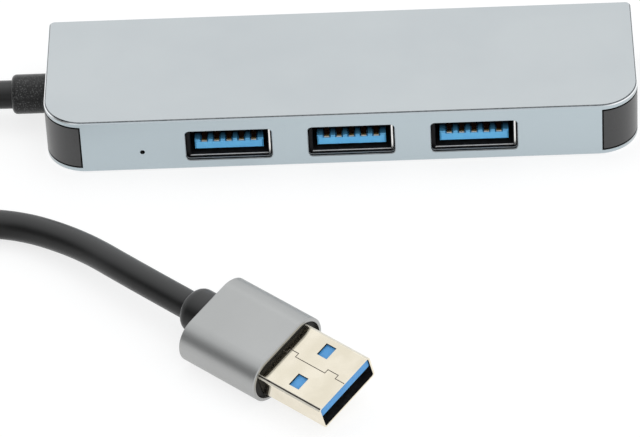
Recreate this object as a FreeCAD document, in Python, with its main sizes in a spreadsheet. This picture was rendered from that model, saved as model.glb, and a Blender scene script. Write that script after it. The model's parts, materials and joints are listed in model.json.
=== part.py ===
"""Slim three-port USB 3 hub with a short captive lead, as a parametric document.

Frame: X along the housing, Y to the rear, Z up, origin at the middle of the housing's underside.
Lengths are in millimetres and angles in degrees.
"""
import FreeCAD, Part
import Sketcher
import math
import os
import re

V = FreeCAD.Vector

# ---------------------------------------------------------------- driving dimensions
SIZES = [
    # housing: one extruded aluminium tube with a plastic cap in each end
    ("hub_length", 96.0), ("hub_depth", 28.0), ("hub_height", 10.0), ("wall", 0.9),
    ("front_corner", 6.5), ("rear_corner", 1.0), ("edge_bevel", 0.3), ("fit_gap", 0.1),
    ("cap_face", 6.0), ("spigot_length", 3.0), ("cap_skin", 1.4), ("shelf_thickness", 1.2),
    ("lead_height", 5.0), ("lead_y", 1.0),
    # board
    ("board_thickness", 1.0), ("board_top_gap", 0.6), ("board_side_gap", 0.55),
    ("film_thickness", 0.1), ("film_end_margin", 5.0), ("film_side_margin", 0.5),
    ("leg_stand", 0.3), ("leg_length", 1.2), ("leg_clearance", 0.15),
    ("leg_front", 3.0), ("leg_spacing", 10.0),
    # ports
    ("port_pitch", 19.8), ("port_middle", 1.6), ("port_width", 13.1), ("port_height", 5.72),
    ("port_sheet", 0.3), ("port_length", 17.6), ("port_gap", 0.1), ("lip_length", 0.7),
    ("lip_spread", 0.3), ("lip_bevel", 0.12), ("cutout_gap", 0.125), ("cutout_corner", 0.7),
    ("cutout_bevel", 0.12),
    ("mouth_depth", 12.2), ("tongue_side_gap", 0.7), ("tongue_thickness", 1.84), ("tongue_gap", 0.75),
    ("tongue_setback", 0.4), ("tongue_bevel", 0.25), ("insulator_gap", 0.05), ("slot_width", 1.3),
    ("slot_depth", 0.35), ("finger_start", 2.5), ("finger_width", 2.0),
    ("finger_length", 5.0), ("finger_cut", 0.35),
    # contacts
    ("strip_width", 0.8), ("beam_width", 0.7), ("strip_thickness", 0.2), ("tail_width", 0.4),
    ("tail_reach", 1.0), ("row_gap", 0.6), ("spring_start", 4.3), ("spring_rise", 0.7),
    ("spring_tip", 0.8), ("spring_length", 4.0), ("contact_gap", 0.05),
    # status lamp
    ("lamp_x", -32.2), ("lamp_setback", 1.7), ("lamp_hole", 0.8), ("lamp_height", 3.75),
    ("nose_setback", 0.4), ("pipe_width", 2.4), ("pipe_depth", 1.8), ("pipe_head", 1.3),
    ("stem_width", 1.2),
    # lead
    ("lead_diameter", 4.7), ("boot_wall", 0.9), ("boot_length", 5.8), ("boot_round", 0.8),
    ("neck_wall", 0.35), ("flange_width", 8.0), ("flange_thickness", 1.0), ("jacket_inside", 1.6),
    ("wire_diameter", 0.7), ("wire_pitch", 1.3), ("bundle_pitch", 1.1), ("joint_gap", 0.2),
    ("fan_length", 2.4), ("wire_end", 1.8), ("first_run", 8.7), ("last_run", 12.0),
    # plug
    ("plug_x", -8.5), ("plug_y", -68.5), ("plug_yaw", -42.0), ("plug_bank", 15.0),
    ("sleeve_length", 15.6), ("sleeve_side", 2.0), ("sleeve_cheek", 1.75), ("sleeve_wall", 0.55),
    ("sleeve_bevel", 0.15), ("core_recess", 0.5), ("plug_boot_diameter", 7.4),
    ("plug_boot_length", 4.5), ("plug_boot_round", 1.7), ("plug_neck_diameter", 5.6),
    ("plug_neck_length", 3.0),
    ("tip_length", 12.15), ("tip_width", 12.0), ("tip_thickness", 4.5), ("tip_sheet", 0.3),
    ("tip_corner", 0.6), ("tip_root", 6.0), ("window_length", 2.0), ("window_width", 2.4),
    ("window_centre", 5.8), ("window_spacing", 6.7), ("seam_width", 0.14), ("seam_depth", 0.15),
    ("seam_tab", 0.75), ("blade_thickness", 1.75), ("blade_setback", 0.25), ("root_setback", 0.2),
    ("root_length", 6.8), ("pad_setback", 0.7), ("pad_length", 7.0), ("pad_width", 1.0),
    ("pad_thickness", 0.15), ("spring_strip_start", 1.0), ("spring_strip_length", 2.4),
    ("spring_bump", 0.4), ("spring_bump_place", 2.6),
]

# each package under the board: X from the side of the nearest port, Y from the board's rear edge,
# length, depth, thickness
PACKAGES = {
    "controller": (-4.65, -7.95, 7.0, 7.0, 0.85),
    "crystal_base": (-4.65, -15.15, 3.2, 2.5, 0.35),
    "crystal_lid": (-4.65, -15.15, 2.8, 2.1, 0.75),
    "regulator": (6.05, -8.55, 6.5, 3.5, 1.6),
    "inductor": (6.05, -17.05, 4.2, 4.2, 1.9),
}
for package, numbers in PACKAGES.items():
    SIZES += [(f"{package}_{what}", number)
              for what, number in zip(("aside", "ahead", "length", "depth", "thickness"), numbers)]
SIZES += [
    # solder lands and legs of the packages
    ("land_pitch", 0.5), ("land_width", 0.25), ("land_length", 0.4), ("land_reach", 0.1),
    ("land_thickness", 0.2), ("leg_pitch", 2.3), ("lead_leg_width", 0.8), ("tab_width", 3.1),
    ("lead_leg_length", 1.6), ("lead_leg_reach", 0.75), ("lead_leg_thickness", 0.25),
    ("inductor_round", 0.5),
    # parts behind each port: place beside its middle, distance behind the shell, sizes
    ("fuse_aside", -2.6), ("fuse_behind", 4.2), ("fuse_length", 3.2), ("fuse_depth", 1.6),
    ("fuse_thickness", 0.8), ("bulk_aside", 2.4), ("bulk_behind", 4.0), ("bulk_length", 3.5),
    ("bulk_depth", 2.8), ("bulk_thickness", 1.9),
    # chip parts, the lamp among them
    ("chip_length", 1.0), ("chip_depth", 0.5), ("capacitor_thickness", 0.5),
    ("resistor_thickness", 0.35), ("led_length", 1.6), ("led_depth", 0.8), ("led_thickness", 0.7),
    ("joint_length", 1.0), ("joint_width", 0.9),
]

# middle of each chip part: X from the side of the nearest port or from the right cap, Y from the board's
# rear edge
LEFT_CAPACITORS = [
    (-9.85, -5.15), (-9.85, -3.35), (-9.85, -1.55), (0.55, -5.15), (0.55, -3.35), (0.55, -1.55),
    (-7.65, -1.35), (-5.65, -1.35), (-3.65, -1.35), (-1.65, -1.35),
]
RIGHT_CAPACITORS = [(2.45, -14.95), (2.45, -16.95), (2.45, -18.95)]
LEFT_RESISTORS = [(-6.65, -18.15), (-4.85, -18.15), (-3.05, -18.15), (-4.25, -21.95)]
END_RESISTORS = [(-4.4, -21.35), (-4.4, -22.95), (-6.4, -21.35), (-6.4, -22.95)]

# contact rows across a port or plug
SUPERSPEED_X = (-4.0, -2.0, 0.0, 2.0, 4.0)
USB2_X = (-3.5, -1.0, 1.0, 3.5)

doc = FreeCAD.newDocument("usb_hub")
sheet = doc.addObject("Spreadsheet::Sheet", "sizes")
for row, (alias, number) in enumerate(SIZES, start=1):
    sheet.set(f"A{row}", str(number))
    sheet.setAlias(f"A{row}", alias)
doc.recompute()
ALIASES = {alias for alias, number in SIZES}

# places worked out from the driving dimensions
INNER_TOP = "(hub_height - wall)"
INNER_REAR = "(hub_depth / 2 - wall)"
BOARD_TOP = f"({INNER_TOP} - board_top_gap)"
BOARD_UNDER = f"({BOARD_TOP} - board_thickness)"
BOARD_HALF = f"({INNER_REAR} - board_side_gap)"
CAP_INNER = "(hub_length / 2 - cap_face)"
PORT_FRONT = "(-hub_depth / 2 + wall + port_gap)"
PORT_REAR = f"({PORT_FRONT} + port_length)"
PORT_UNDER = f"({BOARD_UNDER} - port_height)"
TONGUE_TIP = f"({PORT_FRONT} + tongue_setback)"
TONGUE_UNDER = f"({PORT_UNDER} + port_sheet + tongue_gap)"
TONGUE_TOP = f"({TONGUE_UNDER} + tongue_thickness)"
BASE_FRONT = f"({PORT_FRONT} + mouth_depth)"
PORTS_LEFT = "(port_middle - port_pitch - port_width / 2)"
PORTS_RIGHT = "(port_middle + port_pitch + port_width / 2)"
PORT_INSIDE = "(port_width - 2 * port_sheet)"
TONGUE_WIDTH = f"({PORT_INSIDE} - 2 * tongue_side_gap)"
CUTOUT_WIDTH = "(port_width + 2 * lip_spread + 2 * cutout_gap)"
LAMP_Y = f"({PORT_FRONT} + lamp_setback)"
SLEEVE_WIDTH = "(tip_width + 2 * sleeve_side)"
SLEEVE_THICKNESS = "(tip_thickness + 2 * sleeve_cheek)"
PLUG_HEIGHT = f"({SLEEVE_THICKNESS} / 2 + ({SLEEVE_WIDTH} - {SLEEVE_THICKNESS}) / 2 * sin(plug_bank * 1 deg))"
NECK_DIAMETER = "(lead_diameter + 2 * neck_wall)"

SUB_PARTS = []
ALONG_X, INWARD, UPRIGHT = V(1, 0, 0), V(0, 1, 0), V(0, 0, 1)


# ---------------------------------------------------------------- helpers
def bound(expression):
    """The expression with every alias looked up in the sheet."""
    return re.sub(r"[A-Za-z_]\w*", lambda word: "sizes." + word.group() if word.group() in ALIASES
                  else word.group(), str(expression))


probe = doc.addObject("App::FeaturePython", "probe")


def size(expression):
    """The number that an expression of the sheet's aliases comes to."""
    return float(probe.evalExpression(bound(expression)))


def bind(thing, **expressions):
    for name, expression in expressions.items():
        thing.setExpression(name, bound(expression))
    return thing


def place(thing, x=0, y=0, z=0):
    for axis, expression in zip("xyz", (x, y, z)):
        thing.setExpression(f"Placement.Base.{axis}", bound(expression))
    return thing


def block(low, span, name="block"):
    """A box from its low corner and its three spans."""
    box = bind(doc.addObject("Part::Box", name), Length=span[0], Width=span[1], Height=span[2])
    return place(box, *low)


def centred(centre_x, width, low_y, depth, low_z, height, name="block"):
    """A box centred on one X, given by its low Y and Z."""
    return block((f"{centre_x} - ({width}) / 2", low_y, low_z), (width, depth, height), name)


ALONG = {"x": FreeCAD.Rotation(V(0, 1, 0), 90), "y": FreeCAD.Rotation(V(1, 0, 0), -90),
         "z": FreeCAD.Rotation()}


def rod(start, radius, length, along="z", name="rod"):
    """A cylinder from the centre of its first face."""
    cylinder = bind(doc.addObject("Part::Cylinder", name), Radius=radius, Height=length)
    cylinder.Placement.Rotation = ALONG[along]
    return place(cylinder, *start)


def fuse(pieces, name="fused"):
    if len(pieces) == 1:
        return pieces[0]
    joined = doc.addObject("Part::MultiFuse", name)
    joined.Shapes = pieces
    joined.Refine = True
    return joined


def cut(base, tools, name="cut"):
    trimmed = doc.addObject("Part::Cut", name)
    trimmed.Base = base
    trimmed.Tool = fuse(tools, name + "_tools")
    return trimmed


def group(pieces, name="group"):
    """Several separate solids kept as one sub-part."""
    gathered = doc.addObject("Part::Compound", name)
    gathered.Links = pieces
    return gathered


def rounded(base, amount, chosen, name="rounded", kind="Fillet"):
    """A fillet or chamfer on the edges that the test picks."""
    doc.recompute()
    dressed = doc.addObject("Part::" + kind, name)
    dressed.Base = base
    amount = size(amount)
    dressed.Edges = [(number, amount, amount) for number, edge in enumerate(base.Shape.Edges, start=1)
                     if chosen(edge)]
    return dressed


def sub_part(thing, label):
    thing.Label = label
    SUB_PARTS.append(thing)
    return thing


def runs_along(edge, direction):
    if edge.Curve.TypeId != "Part::GeomLine":
        return False
    return abs(edge.Curve.Direction.dot(direction)) > 0.999


def middle(edge):
    return edge.CenterOfMass


# PartDesign helpers
def new_body(name):
    return doc.addObject("PartDesign::Body", name)


def new_sketch(body, plane, offset=0):
    """A sketch on one of the body's own origin planes, moved along the plane's normal."""
    sketch = body.newObject("Sketcher::SketchObject", body.Name + "_sketch")
    role = [feature for feature in body.Origin.OriginFeatures if feature.Role == plane]
    sketch.AttachmentSupport = [(role[0], "")]
    sketch.MapMode = "FlatFace"
    sketch.setExpression("AttachmentOffset.Base.z", bound(offset))
    return sketch


def rectangle(sketch, low_a, low_b, span_a, span_b):
    """Four constrained lines; the low corner is measured from the sketch's origin."""
    a, b, da, db = (size(part) for part in (low_a, low_b, span_a, span_b))
    corners = [V(a, b), V(a + da, b), V(a + da, b + db), V(a, b + db)]
    first = sketch.GeometryCount
    for start, end in zip(corners, corners[1:] + corners[:1]):
        sketch.addGeometry(Part.LineSegment(start, end))
    for side in range(4):
        sketch.addConstraint(Sketcher.Constraint("Coincident", first + side, 2, first + (side + 1) % 4, 1))
    for side, kind in enumerate(("Horizontal", "Vertical", "Horizontal", "Vertical")):
        sketch.addConstraint(Sketcher.Constraint(kind, first + side))
    measures = [("DistanceX", (-1, 1, first, 1), a, low_a),
                ("DistanceY", (-1, 1, first, 1), b, low_b),
                ("DistanceX", (first, 1, first, 2), da, span_a),
                ("DistanceY", (first + 1, 1, first + 1, 2), db, span_b)]
    for kind, points, number, expression in measures:
        index = sketch.addConstraint(Sketcher.Constraint(kind, *points, number))
        sketch.setExpression(f"Constraints[{index}]", bound(expression))


def circle(sketch, a, b, radius):
    index = sketch.addGeometry(Part.Circle(V(size(a), size(b)), V(0, 0, 1), size(radius)))
    measures = [("DistanceX", (-1, 1, index, 3), a),
                ("DistanceY", (-1, 1, index, 3), b),
                ("Radius", (index,), radius)]
    for kind, points, expression in measures:
        number = sketch.addConstraint(Sketcher.Constraint(kind, *points, size(expression)))
        sketch.setExpression(f"Constraints[{number}]", bound(expression))


def pad(body, sketch, length):
    feature = body.newObject("PartDesign::Pad", body.Name + "_pad")
    feature.Profile = sketch
    return bind(feature, Length=length)


def pocket(body, sketch, length=None, toward_normal=False, through=False, both=False):
    """A pocket that has to take something away."""
    doc.recompute()
    before = body.Shape.Volume
    feature = body.newObject("PartDesign::Pocket", body.Name + "_pocket")
    feature.Profile = sketch
    feature.Reversed = toward_normal
    if both:
        feature.Midplane = True
    if through:
        feature.Type = "ThroughAll"
    else:
        bind(feature, Length=length)
    doc.recompute()
    if not body.Shape.Volume < before - 1e-6:
        raise RuntimeError(f"{feature.Name} of {body.Name} cuts nothing")
    return feature


def dress(body, kind, amount, chosen):
    """A fillet or chamfer on the edges of the tip that the test picks."""
    doc.recompute()
    base = body.Tip
    names = [f"Edge{number}" for number, edge in enumerate(base.Shape.Edges, start=1) if chosen(edge)]
    feature = body.newObject("PartDesign::" + kind, body.Name + "_" + kind.lower())
    feature.Base = (base, names)
    bind(feature, **({"Radius": amount} if kind == "Fillet" else {"Size": amount}))
    doc.recompute()
    return feature


# ---------------------------------------------------------------- housing
def port_centres():
    return [f"(port_middle + {step} * port_pitch)" for step in (-1, 0, 1)]


def housing_tube():
    """The extrusion: top and bottom plates joined by the front and rear walls."""
    body = new_body("housing_tube")
    outline = new_sketch(body, "XY_Plane")
    rectangle(outline, "-hub_length / 2", "-hub_depth / 2", "hub_length", "hub_depth")
    pad(body, outline, "hub_height")
    dress(body, "Fillet", "front_corner", lambda edge: runs_along(edge, UPRIGHT) and middle(edge).y < 0)
    dress(body, "Fillet", "rear_corner",
          lambda edge: runs_along(edge, UPRIGHT) and middle(edge).y > size("hub_depth / 2 - rear_corner"))
    top = size("hub_height")
    dress(body, "Chamfer", "edge_bevel",
          lambda edge: min(abs(middle(edge).z), abs(middle(edge).z - top)) < 1e-6)
    hollow = new_sketch(body, "YZ_Plane")
    rectangle(hollow, "-" + INNER_REAR, "wall", f"2 * {INNER_REAR}", f"{INNER_TOP} - wall")
    pocket(body, hollow, "2 * hub_length", both=True)
    for low_x in ("-hub_length", CAP_INNER):
        gap = new_sketch(body, "XY_Plane", "wall")
        rectangle(gap, low_x, "-hub_depth", f"hub_length - {CAP_INNER}", f"hub_depth - {INNER_REAR}")
        pocket(body, gap, f"{INNER_TOP} - wall", toward_normal=True)
    rear_end = "(hub_length / 2 - rear_corner)"
    for low_x in ("-hub_length", rear_end):
        gap = new_sketch(body, "XY_Plane", "wall")
        rectangle(gap, low_x, INNER_REAR, f"hub_length - {rear_end}", "hub_depth")
        pocket(body, gap, f"{INNER_TOP} - wall", toward_normal=True)
    openings = new_sketch(body, "XZ_Plane")
    for centre in port_centres():
        rectangle(openings, f"{centre} - {CUTOUT_WIDTH} / 2", PORT_UNDER, CUTOUT_WIDTH, "port_height")
    circle(openings, "lamp_x", "lamp_height", "lamp_hole / 2")
    pocket(body, openings, "hub_depth", toward_normal=True)
    dress(body, "Fillet", "cutout_corner", lambda edge: runs_along(edge, INWARD) and
          edge.Length < size("2 * wall") and middle(edge).y < 0 and
          abs(middle(edge).x) < size(f"{CAP_INNER} - fit_gap"))
    front = size("-hub_depth / 2")
    under, over = size(f"{PORT_UNDER} - fit_gap"), size(f"{BOARD_UNDER} + fit_gap")
    low_x, high_x = size("lamp_x + lamp_hole"), size(f"{CAP_INNER} - fit_gap")

    def cutout_rim(edge):
        at = middle(edge)
        return abs(at.y - front) < 1e-6 and under < at.z < over and low_x < at.x < high_x
    dress(body, "Chamfer", "cutout_bevel", cutout_rim)
    return sub_part(body, "housing_tube")


def end_cap(side, label):
    """A black cap: a flush face between the plates and a spigot whose top carries the board."""
    def across(inner, outer):
        """Low X and span between two distances from the middle, on this cap's side."""
        return (f"({inner})" if side > 0 else f"-({outer})"), f"({outer}) - ({inner})"

    body = new_body(label)
    floor = "(wall + fit_gap)"
    ceiling = f"({INNER_TOP} - fit_gap)"
    reach_y = f"({INNER_REAR} - fit_gap)"
    face_inner = f"({CAP_INNER} + fit_gap)"
    spigot_inner = f"({CAP_INNER} - spigot_length)"
    skin_inner = "(hub_length / 2 - cap_skin)"
    outline = new_sketch(body, "XY_Plane", floor)
    rectangle(outline, "-hub_length / 2", "-hub_depth / 2", "hub_length", "hub_depth")
    pad(body, outline, f"{ceiling} - {floor}")
    rear = size("hub_depth / 2")
    dress(body, "Fillet", "front_corner", lambda edge: runs_along(edge, UPRIGHT) and middle(edge).y < 0)
    dress(body, "Fillet", "rear_corner",
          lambda edge: runs_along(edge, UPRIGHT) and abs(middle(edge).y - rear) < 1e-6)
    inboard = new_sketch(body, "XY_Plane", floor)
    low_x, span_x = across("-hub_length", face_inner)
    rectangle(inboard, low_x, "-hub_depth", span_x, "2 * hub_depth")
    pocket(body, inboard, "hub_height", toward_normal=True)
    notch = new_sketch(body, "XY_Plane", floor)
    low_x, span_x = across("0", "hub_length / 2 - rear_corner + fit_gap")
    rectangle(notch, low_x, reach_y, span_x, "hub_depth")
    pocket(body, notch, "hub_height", toward_normal=True)
    spigot = new_sketch(body, "XY_Plane", floor)
    low_x, span_x = across(spigot_inner, face_inner)
    rectangle(spigot, low_x, f"-{reach_y}", span_x, f"2 * {reach_y}")
    pad(body, spigot, f"{BOARD_UNDER} - {floor}")
    # the hollow is wide behind the rounded corner and narrow beside it
    hollow_floor = f"({floor} + shelf_thickness)"
    rear_y = f"({reach_y} - cap_skin)"
    for outer_x, front_y in (("(hub_length / 2 - front_corner)", rear_y),
                             (skin_inner, "(hub_depth / 2 - front_corner)")):
        low_x, span_x = across(f"{spigot_inner} - spigot_length", outer_x)
        hollow = new_sketch(body, "XY_Plane", hollow_floor)
        rectangle(hollow, low_x, f"-{front_y}", span_x, f"{front_y} + {rear_y}")
        pocket(body, hollow, f"{BOARD_UNDER} - shelf_thickness - {hollow_floor}", toward_normal=True)
    if side < 0:
        channel_floor = f"(lead_height - {NECK_DIAMETER} / 2 - fit_gap)"
        channel = new_sketch(body, "XY_Plane", channel_floor)
        rectangle(channel, low_x, "lead_y - flange_width / 2 - fit_gap", span_x, "flange_width + 2 * fit_gap")
        pocket(body, channel, f"{BOARD_UNDER} + board_thickness - {channel_floor}", toward_normal=True)
        entry = new_sketch(body, "YZ_Plane")
        circle(entry, "lead_y", "lead_height", f"{NECK_DIAMETER} / 2 + fit_gap / 2")
        pocket(body, entry, "hub_length")
    return sub_part(body, label)


# ---------------------------------------------------------------- board
def leg_places():
    """Centre X and low Y of every port leg."""
    for centre in port_centres():
        for side in (-1, 1):
            for low_y in (f"({PORT_FRONT} + leg_front)", f"({PORT_FRONT} + leg_front + leg_spacing)"):
                yield f"({centre} + {side} * (port_width - port_sheet) / 2)", low_y


def circuit_board():
    length = f"(2 * {CAP_INNER} - 2 * fit_gap)"
    blank = centred("0", length, f"-{BOARD_HALF}", f"2 * {BOARD_HALF}", BOARD_UNDER, "board_thickness",
                    "board")
    slots = [centred(x, "port_sheet + 2 * leg_clearance", f"{low_y} - leg_clearance",
                     "leg_length + 2 * leg_clearance", f"{BOARD_UNDER} - board_thickness",
                     "3 * board_thickness", "slot")
             for x, low_y in leg_places()]
    return sub_part(cut(blank, slots, "board_cut"), "circuit_board")


def insulating_film():
    half = f"({BOARD_HALF} - film_side_margin)"
    film = centred("0", f"2 * ({CAP_INNER} - film_end_margin)", f"-{half}", f"2 * {half}",
                   f"{INNER_TOP} - film_thickness", "film_thickness", "film")
    return sub_part(film, "insulating_film")


def under_board(x, y, length, depth, thickness, name):
    """A component soldered to the board's underside, given by its middle."""
    low_z = f"{BOARD_UNDER} - ({thickness})"
    return centred(x, length, f"({y}) - ({depth}) / 2", depth, low_z, thickness, name)


def package(name, beside):
    """One of the listed packages, beside the left or the right port."""
    return under_board(f"({beside} + {name}_aside)", f"({BOARD_HALF} + {name}_ahead)", f"{name}_length",
                       f"{name}_depth", f"{name}_thickness", name)


def hub_controller():
    """A square flat package with solder lands showing along its four sides."""
    x, y = f"({PORTS_LEFT} + controller_aside)", f"({BOARD_HALF} + controller_ahead)"
    across_x = "(controller_length / 2 + land_reach)"
    across_y = "(controller_depth / 2 + land_reach)"
    lands = []
    for step in range(-5, 6):
        for end in (-1, 1):
            lands.append(under_board(f"{x} + {step} * land_pitch", f"{y} + {end} * {across_y}",
                                     "land_width", "land_length", "land_thickness", "land"))
            lands.append(under_board(f"{x} + {end} * {across_x}", f"{y} + {step} * land_pitch",
                                     "land_length", "land_width", "land_thickness", "land"))
    return sub_part(fuse([package("controller", PORTS_LEFT)] + lands, "controller_parts"), "hub_controller")


def crystal():
    can = [package("crystal_base", PORTS_LEFT), package("crystal_lid", PORTS_LEFT)]
    return sub_part(fuse(can, "crystal_parts"), "crystal")


def voltage_regulator():
    """A small power package: body, three legs in front and a wide tab behind."""
    x, y = f"({PORTS_RIGHT} + regulator_aside)", f"({BOARD_HALF} + regulator_ahead)"
    reach = "(regulator_depth / 2 + lead_leg_reach)"
    legs = [under_board(f"{x} + {step} * leg_pitch", f"{y} - {reach}", "lead_leg_width",
                        "lead_leg_length", "lead_leg_thickness", "leg") for step in (-1, 0, 1)]
    tab = under_board(x, f"{y} + {reach}", "tab_width", "lead_leg_length", "lead_leg_thickness",
                      "tab")
    pieces = [package("regulator", PORTS_RIGHT), tab] + legs
    return sub_part(fuse(pieces, "regulator_parts"), "voltage_regulator")


def power_inductor():
    case = rounded(package("inductor", PORTS_RIGHT), "inductor_round", lambda edge: runs_along(edge, UPRIGHT))
    return sub_part(case, "power_inductor")


def behind_ports(label, kind):
    """One part of a kind behind each port."""
    pieces = [under_board(f"({centre} + {kind}_aside)", f"{PORT_REAR} + {kind}_behind + {kind}_depth / 2",
                          f"{kind}_length", f"{kind}_depth", f"{kind}_thickness", kind)
              for centre in port_centres()]
    return sub_part(group(pieces, label + "_group"), label)


def chip_parts(label, groups, thickness):
    """Chip parts of one kind; each group of places is measured from its own X."""
    pieces = [under_board(f"({beside} + {x})", f"({BOARD_HALF} + {y})", "chip_length", "chip_depth",
                          thickness, "chip")
              for beside, places in groups.items() for x, y in places]
    return sub_part(group(pieces, label + "_group"), label)


def status_lamp():
    """A chip LED under the board and the clear pipe that carries its light to the pinhole."""
    sub_part(under_board("lamp_x", LAMP_Y, "led_length", "led_depth", "led_thickness", "lamp"), "status_led")
    head = under_board("lamp_x", LAMP_Y, "pipe_width + 2 * stem_width / 3", "pipe_depth", "pipe_head", "head")
    stem_low = "(lamp_height - stem_width / 2)"
    stem = block(("lamp_x - stem_width / 2", f"{LAMP_Y} - stem_width / 2", stem_low),
                 ("stem_width", "stem_width", f"{BOARD_UNDER} - pipe_head / 2 - {stem_low}"), "stem")
    inner_face = "(-hub_depth / 2 + wall + contact_gap)"
    arm = rod(("lamp_x", inner_face, "lamp_height"), "stem_width / 2", f"{LAMP_Y} - {inner_face}", "y", "arm")
    nose_face = "(-hub_depth / 2 + nose_setback)"
    nose = rod(("lamp_x", nose_face, "lamp_height"), "lamp_hole / 2 - contact_gap",
               f"{LAMP_Y} - {nose_face}", "y", "nose")
    seat = under_board("lamp_x", LAMP_Y, "led_length + 2 * contact_gap", "led_depth + 2 * contact_gap",
                       "led_thickness + contact_gap", "seat")
    return sub_part(cut(fuse([head, stem, arm, nose], "pipe_body"), [seat], "pipe_cut"), "light_pipe")


# ---------------------------------------------------------------- ports
def port_shell(number, centre):
    """Folded sheet: a square tube with a spread lip, sprung fingers and four legs."""
    tube = centred(centre, "port_width", PORT_FRONT, "port_length", PORT_UNDER, "port_height", "shell_tube")
    lip = centred(centre, "port_width + 2 * lip_spread", PORT_FRONT, "lip_length",
                  f"{PORT_UNDER} - lip_spread", "port_height + lip_spread", "shell_lip")
    legs = [centred(x, "port_sheet", low_y, "leg_length", f"{BOARD_UNDER} - port_height / 2",
                    "port_height / 2 + board_thickness + leg_stand", "leg")
            for x, low_y in leg_places() if x.startswith(f"({centre} ")]
    outer = fuse([tube, lip] + legs, "shell_outer")
    hollow = centred(centre, PORT_INSIDE, f"{PORT_FRONT} - port_sheet", "port_length + 2 * port_sheet",
                     f"{PORT_UNDER} + port_sheet", "port_height - 2 * port_sheet", "shell_hollow")
    slits = []
    below = (f"{PORT_UNDER} - port_sheet", "3 * port_sheet", "slit")
    for side in (-1, 1):
        middle_x = f"({centre} + {side} * {PORT_INSIDE} / 4)"
        low_y = f"({PORT_FRONT} + finger_start)"
        for edge in (-1, 1):
            slits.append(centred(f"{middle_x} + {edge} * (finger_width + finger_cut) / 2", "finger_cut",
                                 low_y, "finger_length", *below))
        slits.append(centred(middle_x, "finger_width", f"{low_y} + finger_length - finger_cut", "finger_cut",
                             *below))
    shell = cut(outer, [hollow] + slits, "shell_cut")
    doc.recompute()
    front = size(PORT_FRONT)
    low, high = size(f"{PORT_UNDER} + port_sheet"), size(f"{BOARD_UNDER} - port_sheet")
    half = size(PORT_INSIDE) / 2
    centre_x = size(centre)

    def inner_mouth(edge):
        at = middle(edge)
        inside = abs(at.x - centre_x) < half + 1e-3 and low - 1e-3 < at.z < high - 1e-3
        return abs(at.y - front) < 1e-6 and edge.Length < 2 * half + 1e-3 and inside
    shell = rounded(shell, "lip_bevel", inner_mouth, "shell_bevel", "Chamfer")
    return sub_part(shell, f"port_{number}_shell")


def port_insulator(number, centre):
    """The blue moulding: a base that fills the back of the shell and the tongue."""
    base = centred(centre, f"{PORT_INSIDE} - 2 * insulator_gap", BASE_FRONT,
                   f"{PORT_REAR} - {BASE_FRONT}", f"{PORT_UNDER} + port_sheet + insulator_gap",
                   "port_height - 2 * port_sheet - 2 * insulator_gap", "insulator_base")
    tongue = centred(centre, TONGUE_WIDTH, TONGUE_TIP, f"{BASE_FRONT} - {TONGUE_TIP} + tongue_thickness",
                     TONGUE_UNDER, "tongue_thickness", "tongue")
    tip = size(TONGUE_TIP)
    tongue = rounded(tongue, "tongue_bevel", lambda edge: abs(middle(edge).y - tip) < 1e-6, "tongue_bevel",
                     "Chamfer")
    slots = [centred(f"({centre} + {x})", "slot_width", f"{TONGUE_TIP} - tongue_bevel", "port_length",
                     f"{TONGUE_TOP} - slot_depth", "slot_depth", "superspeed_slot") for x in SUPERSPEED_X]
    slots += [centred(f"({centre} + {x})", "beam_width + 2 * contact_gap", BASE_FRONT, "port_length",
                      TONGUE_TOP, "strip_thickness + 2 * contact_gap", "usb2_slot") for x in USB2_X]
    moulding = cut(fuse([base, tongue], "insulator_body"), slots, "insulator_cut")
    return sub_part(moulding, f"port_{number}_insulator")


def superspeed_contacts(number, centre):
    """Five flat strips sunk in the tongue's slots, turned up behind to the board."""
    strips = []
    low_z = f"({TONGUE_TOP} - slot_depth + contact_gap)"
    for x in SUPERSPEED_X:
        at = f"({centre} + {x})"
        strip = centred(at, "strip_width", f"{TONGUE_TIP} + contact_gap",
                        f"{PORT_REAR} - {TONGUE_TIP}", low_z, "strip_thickness", "strip")
        riser = centred(at, "tail_width", f"{PORT_REAR} + contact_gap", "strip_thickness", low_z,
                        f"{BOARD_UNDER} - {low_z}", "riser")
        foot = centred(at, "tail_width", f"{PORT_REAR} + contact_gap", "tail_reach",
                       f"{BOARD_UNDER} - strip_thickness", "strip_thickness", "foot")
        strips.append(fuse([strip, riser, foot], "superspeed_strip"))
    return sub_part(group(strips, "superspeed"), f"port_{number}_superspeed_contacts")


def usb2_contacts(number, centre):
    """Four spring beams that rise over the tongue, with feet behind the other row."""
    beams = []
    start = f"({TONGUE_TIP} + spring_start)"
    low_z = f"({TONGUE_TOP} + contact_gap)"
    rear = f"({PORT_REAR} + tail_reach + row_gap)"
    for x in USB2_X:
        at = f"({centre} + {x})"
        outline = [(start, f"{low_z} + spring_rise / 2"), (f"{start} + spring_tip", f"{low_z} + spring_rise"),
                   (f"{start} + spring_length", low_z), (BASE_FRONT, low_z)]
        points = [V(size(at) - size("beam_width") / 2, size(y), size(z)) for y, z in outline]
        thickness = V(0, 0, size("strip_thickness"))
        ring = points + [point + thickness for point in reversed(points)]
        wedge = Part.Face(Part.makePolygon(ring + ring[:1])).extrude(V(size("beam_width"), 0, 0))
        spring = doc.addObject("Part::Feature", "spring")
        spring.Shape = wedge
        strip = centred(at, "beam_width", BASE_FRONT, f"{PORT_REAR} - {BASE_FRONT}", low_z, "strip_thickness",
                        "strip")
        neck = centred(at, "tail_width", PORT_REAR, f"{rear} - {PORT_REAR}", low_z, "strip_thickness", "neck")
        riser = centred(at, "tail_width", rear, "strip_thickness", low_z, f"{BOARD_UNDER} - {low_z}", "riser")
        foot = centred(at, "tail_width", rear, "tail_reach", f"{BOARD_UNDER} - strip_thickness",
                       "strip_thickness", "foot")
        beams.append(fuse([spring, strip, neck, riser, foot], "usb2_beam"))
    return sub_part(group(beams, "usb2"), f"port_{number}_usb2_contacts")


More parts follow.
